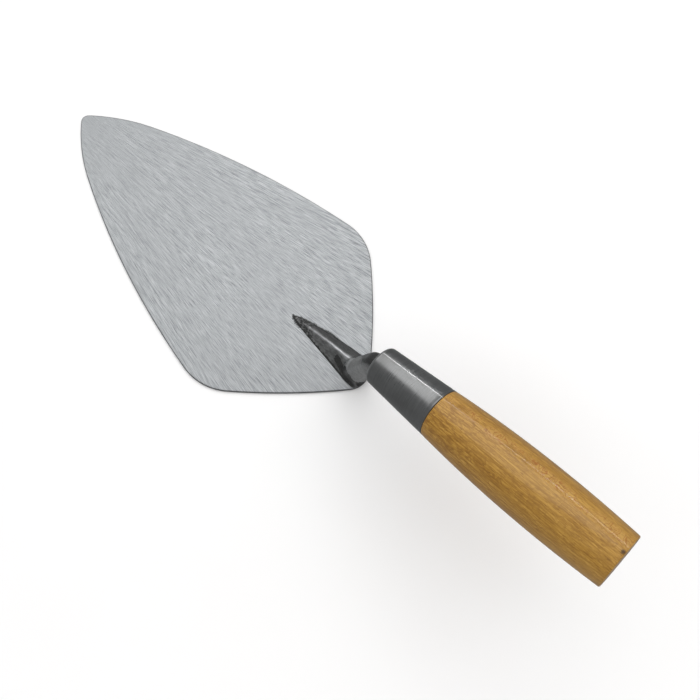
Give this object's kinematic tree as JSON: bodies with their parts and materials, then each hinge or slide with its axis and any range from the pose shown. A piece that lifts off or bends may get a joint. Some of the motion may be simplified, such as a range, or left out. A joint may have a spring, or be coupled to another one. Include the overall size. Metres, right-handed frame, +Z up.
{
  "type": "brick trowel",
  "caption": "Bricklayer's trowel: flat kite-shaped forged steel blade with a raised shank, a tapered steel ferrule and a swelling turned wooden handle.",
  "frame": {"origin": "on the blade's flat underside, on the centre line, where the blade is widest", "axes": "+X runs along the blade towards its tip, +Z is up from the blade's underside, and Y is across the blade"},
  "size_m": [0.4419, 0.145, 0.109],
  "materials": {
    "blade_steel": "brushed, with dark forging scale round the shank",
    "ferrule_steel": "polished drawn steel",
    "handle_wood": "clear gloss varnish"
  },
  "bodies": {
    "root": {"blade_forging": "blade_steel", "ferrule": "ferrule_steel", "handle": "handle_wood"}
  },
  "joints": []
}
